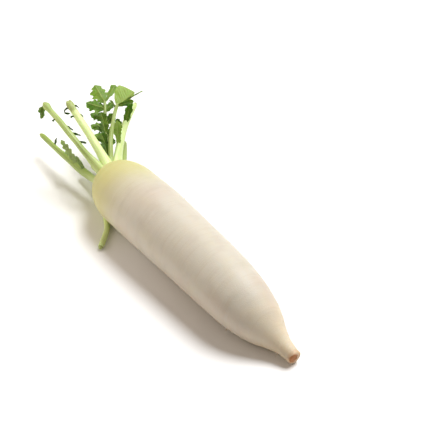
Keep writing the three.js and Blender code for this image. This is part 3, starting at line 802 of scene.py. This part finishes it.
def add_stalk(form, leaf, seed, look):
    """A stalk's skin: an oval with a channel down its inner side, ribs along its back, and a cut end."""
    s = np.linspace(0, 1, STALK_RINGS + 1)
    dome = np.linspace(0, 1, STALK_CUT_RINGS + 1)[1:]
    at, along, inner, across = (
        np.concatenate([part, np.repeat(part[-1:], STALK_CUT_RINGS, axis=0)]) for part in stalk_line(leaf)
    )
    s = np.concatenate([s, np.ones(STALK_CUT_RINGS)])[:, None]
    shrink = np.concatenate([np.ones(STALK_RINGS + 1), np.cos(dome * 0.95 * math.pi / 2)])[:, None]
    rise = np.concatenate([np.zeros(STALK_RINGS + 1), 0.8 * np.sin(dome * math.pi / 2)])[:, None]
    angle = np.linspace(0, 2 * math.pi, STALK_SIDES, endpoint=False)[None, :]
    cosine, sine = np.cos(angle), np.sin(angle)
    half_width, half_thickness = stalk_section(leaf, s)
    hollow = smooth(sine / 0.6) * (1 - smooth(np.abs(cosine) / 0.7)) * (1 - smooth((s - 0.7) / 0.2))
    curl = 0.32 * half_width * (1 - smooth(s / 0.4)) * cosine * cosine
    x = cosine * half_width * shrink
    y = sine * half_thickness * shrink * (1 - 0.45 * hollow) + curl
    rings = at[:, None] + x[..., None] * across[:, None] + y[..., None] * inner[:, None]
    rings = rings + rise[..., None] * along[:, None]
    up = s * leaf["length"]
    end = smooth(1 - (leaf["length"] - up) / max(leaf["cap"], 0.1))
    ribs = look.rib_depth / MM * np.cos(13 * angle + 0.4 * wander(seed, 5, (up, 0.08))) * (1 - 0.7 * end)
    uneven = 0.16 * wander(seed + 1, 9, (up, 0.22), (angle, 3))
    lumps = 0.45 * end * wander(seed + 2, 12, (up, 1.1), (angle, 4)) * (leaf["cap"] > 8)
    free = smooth(s / 0.08) * shrink
    rings = rings + outward_normals(rings) * ((ribs + uneven + lumps) * free)[..., None]
    rings[..., 2] = np.maximum(rings[..., 2], 0.02)
    form.add_tube(rings, {
        "up": s, "green": leaf["green"], "cap": end, "round_x": cosine, "round_y": sine,
    })


def lobed(s, lobes, notch, teeth):
    """The share of the full half width left between pointed lobes with toothed edges."""
    lobe = 1 - np.abs(2 * ((s * lobes) % 1) - 1)
    tooth = 1 - np.abs(2 * ((s * lobes * 3 + 0.5) % 1) - 1)
    return (1 - notch * (1 - lobe ** 0.75)) * (1 - teeth * (1 - tooth))


def add_blade(form, place, ahead, facing, look, seed, length, width, lobes=3, notch=0.4, sweep=0.5, arch=0,
              fold=15, ruffle=0, broadest=0.55, lopsided=0, teeth=0.16, dark=0, faded=0, pale=0.15,
              light=0):
    """A thin sheet that arches along its rib, folds about it and ruffles at its lobed edge."""
    rows = int(max(14, 12 * lobes, length * 2))
    ahead = unit(ahead)
    normal = unit(facing - ahead * (facing @ ahead))
    side = np.cross(normal, ahead)
    s = np.linspace(0, 1, rows + 1)[:, None]
    bend = np.radians(arch * s)
    forward = np.cos(bend) * ahead + np.sin(bend) * normal
    above = -np.sin(bend) * ahead + np.cos(bend) * normal
    middle = place + np.concatenate([[[0, 0, 0]], np.cumsum(forward[1:], axis=0)]) * length / rows
    swell = np.maximum(np.sin(math.pi * s ** (math.log(0.5) / math.log(broadest))), 0) ** 0.7
    q = np.linspace(-1, 1, BLADE_COLUMNS + 1)[None, :]
    uneven = 1 + 0.6 * teeth * wander(seed, 5, (s * length, 0.9), (np.sign(q), 1.0))
    widest = np.maximum(0, width / 2 * (1 + lopsided * np.sign(q)) - STEM_HALF_WIDTH)
    half = STEM_HALF_WIDTH + widest * swell * lobed(s, lobes, notch, teeth) * uneven
    reach = np.abs(q) * half
    wave = ruffle * q * q * swell * np.sin(math.pi * lobes * s + np.where(q > 0, 0, 2))
    crisp = 0.35 * np.abs(q) * swell * wander(seed + 1, 7, (s * length, 1.4), (q, 4.0))
    branches = SIDE_VEINS * s - VEIN_SLANT * np.abs(q)
    quilt = 0.22 * swell * np.sin(math.pi * np.abs(q)) * np.cos(2 * math.pi * branches)
    turn = math.radians(fold)
    at = (
        middle[:, None]
        + (np.sign(q) * reach * math.cos(turn))[..., None] * side
        + (reach * math.sin(turn) + wave + crisp + quilt)[..., None] * above[:, None]
        + (sweep * reach * swell)[..., None] * forward[:, None]
    )
    tilt = np.radians(fold * np.abs(np.sign(q)))
    face = np.cos(tilt)[..., None] * above[:, None] - (np.sign(q) * np.sin(tilt))[..., None] * side
    thick = look.blade_thickness / MM * (1 - 0.6 * np.abs(q)) * (1 - 0.4 * s)
    rib = 0.55 * hump(q, 0, 0.09) * (1 - s)
    upper_grid = at + (thick / 2 + 0.2 * rib)[..., None] * face
    lower_grid = at - (thick / 2 + rib)[..., None] * face
    for grid in (upper_grid, lower_grid):
        grid[..., 2] = np.maximum(grid[..., 2], 0.05)
    both = {"rib": s, "out": q, "dark": dark, "faded": faded}
    values = {name: (value, value) for name, value in both.items()}
    form.add_sheet(upper_grid, lower_grid, {**values, "pale": (light, max(pale, light))})


def add_leaflet(form, leaf, blade, look, seed):
    """Places a blade where it grows from its stalk."""
    line = stalk_line(leaf)
    i = blade["at"] * STALK_RINGS
    k = int(i)
    at, along, inner, across = (mix(part[k], part[min(k + 1, STALK_RINGS)], i - k) for part in line)
    half_width = float(stalk_section(leaf, np.array(blade["at"]))[0])
    tilt = math.radians(blade.get("tilt", 0))
    turn = math.radians(blade["turn"])
    out = blade["side"] * math.cos(tilt) * across + math.sin(tilt) * inner
    ahead = math.cos(turn) * along + math.sin(turn) * out
    upper = np.array(blade["upper"]) if "upper" in blade else inner - math.sin(tilt) * out
    place = at + out * max(0, half_width - blade.get("sunk", LEAFLET_SUNK))
    shape = {name: value for name, value in blade.items() if name not in PLACING}
    add_blade(form, place, ahead, upper, look, seed, **shape)


def colour_setting(name, description, default):
    return bpy.props.FloatVectorProperty(
        name=name, description=description, default=default, subtype="COLOR", size=3, min=0, max=1,
    )


def length_setting(name, description, default):
    return bpy.props.FloatProperty(
        name=name, description=description, default=default, min=0, unit="LENGTH",
    )


def number_setting(name, description, default):
    return bpy.props.FloatProperty(name=name, description=description, default=default)


class DaikonRoot(bpy.types.PropertyGroup):
    skin: colour_setting("Skin", "Colour of the root's skin", (0.60, 0.555, 0.465))
    skin_rosy: colour_setting("Rosy skin", "Colour of the skin's warmer patches", (0.585, 0.515, 0.425))
    skin_yellow: colour_setting("Yellow skin", "Colour of the skin's yellower patches", (0.60, 0.555, 0.41))
    crown: colour_setting("Crown", "Yellow-green tint of the shoulder", (0.57, 0.54, 0.215))
    crown_deep: colour_setting("Crown top", "Deeper green next to the leaves", (0.44, 0.44, 0.11))
    tail: colour_setting("Tail", "Colour of the thin tail", (0.82, 0.69, 0.46))
    # Partly painted light: the tail's own tan, painted lighter than the skin to stand in for light on the
    # tail.
    smudge: colour_setting("Smudges", "Tint of the greyish smudges", (0.40, 0.35, 0.29))
    # Painted shade: darkens and browns the underside towards the tail.
    painted_underside_shade: colour_setting("Painted underside shade", "Tint of the underside towards the tail", (0.38, 0.27, 0.16))
    cut: colour_setting("Cut", "Colour of the dried cut at the tail's end", (0.40, 0.16, 0.05))
    cut_rim: colour_setting("Cut rim", "Colour of the skin round the cut", (0.60, 0.40, 0.24))
    scar: colour_setting("Scars", "Colour of scars and side roots", (0.50, 0.37, 0.22))
    tint_start: number_setting("Tint start", "Millimetres from the crown where its tint begins to fade", 14)
    tint_end: number_setting("Tint end", "Millimetres from the crown where its tint is gone", 88)
    ring_depth: length_setting("Ring depth", "Depth of the fine rings round the root", 0.00009)
    scar_depth: length_setting("Scar depth", "Depth of the scars of the side roots", 0.00022)
    rootlet_share: number_setting("Side roots", "Share of the scars that keep a short root", 0.4)
    tail_fibres: bpy.props.IntProperty(
        name="Tail fibres", description="Number of fibres at the cut tail", default=4, min=0,
    )


class DaikonStalks(bpy.types.PropertyGroup):
    pale: colour_setting("Pale stalk", "Colour of the palest stalk", (0.70, 0.83, 0.38))
    green: colour_setting("Green stalk", "Colour of the deepest green stalk", (0.295, 0.39, 0.095))
    base: colour_setting("Stalk base", "Colour of the stalks where they leave the crown", (0.66, 0.74, 0.34))
    cap: colour_setting("Stalk end", "Colour of the dried ends", (0.33, 0.39, 0.12))
    rib_depth: length_setting("Rib depth", "Height of the ribs down each stalk", 0.00013)


class DaikonBlades(bpy.types.PropertyGroup):
    blade: colour_setting("Blade", "Colour of the leaf blades", (0.042, 0.105, 0.006))
    blade_light: colour_setting("Light blade", "Colour of the blades' lighter parts", (0.11, 0.185, 0.012))
    underside: colour_setting("Underside", "Colour of the blades' lower face", (0.285, 0.39, 0.075))
    vein: colour_setting("Veins", "Colour of the ribs and veins", (0.40, 0.51, 0.13))
    faded: colour_setting("Faded leaf", "Colour of a remnant that has lost its green", (0.44, 0.50, 0.24))
    shred: colour_setting("Shreds", "Colour of the dried shreds", (0.035, 0.055, 0.02))
    blade_thickness: length_setting("Blade thickness", "Thickness of a blade at its rib", 0.00045)


class DaikonStage(bpy.types.PropertyGroup):
    floor: colour_setting("Floor", "Colour of the floor", (0.92, 0.92, 0.92))
    floor_size: length_setting("Floor size", "Width of the floor", 60)
    azimuth: number_setting("Azimuth", "Degrees round the root that the camera stands at", 53.05)
    elevation: number_setting("Elevation", "Degrees above the floor that the camera stands at", 40)
    distance: length_setting("Distance", "Distance from the camera to its aim", 1.15)
    aim: bpy.props.FloatVectorProperty(
        name="Aim", description="Place that the camera looks at", default=(0.00018, 0.05697, 0.03),
        unit="LENGTH",
    )
    lens: number_setting("Lens", "Focal length in millimetres", 88.65)
    key: number_setting("Key light", "Strength of the main light", 3.8)
    bounce: number_setting("Side light", "Strength of the soft light beside the crown", 0.4)
    fill: number_setting("Fill light", "Strength of the light from all round", 0.315)


class DaikonSettings(bpy.types.PropertyGroup):
    root: bpy.props.PointerProperty(type=DaikonRoot)
    stalks: bpy.props.PointerProperty(type=DaikonStalks)
    blades: bpy.props.PointerProperty(type=DaikonBlades)
    stage: bpy.props.PointerProperty(type=DaikonStage)


class DAIKON_OT_root(bpy.types.Operator):
    """Make the root with its crown, skin and cut tail"""

    bl_idname = "daikon.root"
    bl_label = "Root"

    def execute(self, context):
        look = context.scene.daikon.root
        material = skin_material(look)
        root_form(look).piece("daikon_skin", material, "root_skin", "daikon_root")
        rootlet_form(look).piece("side_roots", material, "root_skin")
        return {"FINISHED"}


class DAIKON_OT_stalks(bpy.types.Operator):
    """Make the leaf stalks, one piece for each leaf"""

    bl_idname = "daikon.stalks"
    bl_label = "Leaf stalks"

    def execute(self, context):
        look = context.scene.daikon.stalks
        material = stalk_material(look)
        for i, (name, leaf) in enumerate(LEAVES.items()):
            form = Form()
            add_stalk(form, leaf, 100 + 10 * i, look)
            slot = "leaf_blade" if name == "leaf_green" else "leaf_stalk"
            form.piece(name + "_stalk", material, slot, name)
        return {"FINISHED"}


class DAIKON_OT_blades(bpy.types.Operator):
    """Make the leaf blades and the shreds left on the stripped stalks"""

    bl_idname = "daikon.blades"
    bl_label = "Leaf blades"

    def execute(self, context):
        look = context.scene.daikon.blades
        material = blade_material(look)
        for i, (name, leaf) in enumerate(LEAVES.items()):
            form = Form()
            for k, blade in enumerate(leaf["leaflets"]):
                add_leaflet(form, leaf, blade, look, 1000 + 40 * i + 2 * k)
            if leaf["leaflets"]:
                form.piece(name + "_blades", material, "leaf_blade")
        return {"FINISHED"}


class DAIKON_OT_stage(bpy.types.Operator):
    """Make the floor, the lights and the camera"""

    bl_idname = "daikon.stage"
    bl_label = "Stage"

    def execute(self, context):
        look = context.scene.daikon.stage
        scene = context.scene
        half = look.floor_size / 2
        mesh = bpy.data.meshes.new("floor")
        square = ((-half, -half), (half, -half), (half, half), (-half, half))
        mesh.from_pydata([(x, y, -FLOOR_DROP) for x, y in square], [], [(0, 1, 2, 3)])
        shader = Shader("white floor")
        mesh.materials.append(shader.finish({
            "Base Color": (*look.floor, 1), "Roughness": 0.9, "Specular IOR Level": 0.1,
        }))
        floor = bpy.data.objects.new("floor", mesh)
        scene.collection.objects.link(floor)

        azimuth = math.radians(look.azimuth)
        elevation = math.radians(look.elevation)
        level = math.cos(elevation)
        back = Vector((math.sin(azimuth) * level, -math.cos(azimuth) * level, math.sin(elevation)))
        camera = bpy.data.objects.new("camera", bpy.data.cameras.new("camera"))
        camera.data.lens = look.lens
        camera.data.clip_end = 100
        camera.location = Vector(look.aim) + back * look.distance
        camera.rotation_euler = back.to_track_quat("Z", "Y").to_euler()
        scene.collection.objects.link(camera)
        scene.camera = camera

        key = bpy.data.objects.new("key light", bpy.data.lights.new("key light", "SUN"))
        key.data.energy = look.key
        key.data.angle = math.radians(KEY_ANGLE)
        key.data.color = KEY_COLOUR
        key.rotation_euler = Vector(KEY_DIRECTION).to_track_quat("Z", "Y").to_euler()
        scene.collection.objects.link(key)

        side = bpy.data.objects.new("side light", bpy.data.lights.new("side light", "AREA"))
        side.data.energy = look.bounce
        side.data.size = SIDE_LIGHT_SIZE
        side.data.color = SIDE_LIGHT_COLOUR
        side.location = SIDE_LIGHT_PLACE
        off = side.location - Vector(SIDE_LIGHT_AIM)
        side.rotation_euler = off.to_track_quat("Z", "Y").to_euler()
        scene.collection.objects.link(side)

        scene.world = bpy.data.worlds.new("studio")
        scene.world.use_nodes = True
        sky = scene.world.node_tree.nodes["Background"]
        sky.inputs["Color"].default_value = (*SKY_COLOUR, 1)
        sky.inputs["Strength"].default_value = look.fill
        scene.view_settings.view_transform = "Standard"
        return {"FINISHED"}


class DAIKON_PT_panel(bpy.types.Panel):
    """Lists the steps of the daikon with their settings"""

    bl_label = "Daikon"
    bl_idname = "DAIKON_PT_panel"
    bl_space_type = "VIEW_3D"
    bl_region_type = "UI"
    bl_category = "Daikon"

    def draw(self, context):
        settings = context.scene.daikon
        parts = (
            ("daikon.root", settings.root), ("daikon.stalks", settings.stalks),
            ("daikon.blades", settings.blades), ("daikon.stage", settings.stage),
        )
        for operator, group in parts:
            box = self.layout.box()
            box.operator(operator)
            for name in group.__annotations__:
                box.prop(group, name)


CLASSES = (
    DaikonRoot, DaikonStalks, DaikonBlades, DaikonStage, DaikonSettings,
    DAIKON_OT_root, DAIKON_OT_stalks, DAIKON_OT_blades, DAIKON_OT_stage, DAIKON_PT_panel,
)


def register():
    for cls in CLASSES:
        bpy.utils.register_class(cls)
    bpy.types.Scene.daikon = bpy.props.PointerProperty(type=DaikonSettings)


def unregister():
    del bpy.types.Scene.daikon
    for cls in reversed(CLASSES):
        bpy.utils.unregister_class(cls)


def main():
    register()
    bpy.ops.daikon.root()
    bpy.ops.daikon.stalks()
    bpy.ops.daikon.blades()
    bpy.ops.daikon.stage()


if __name__ == "__main__":
    main()
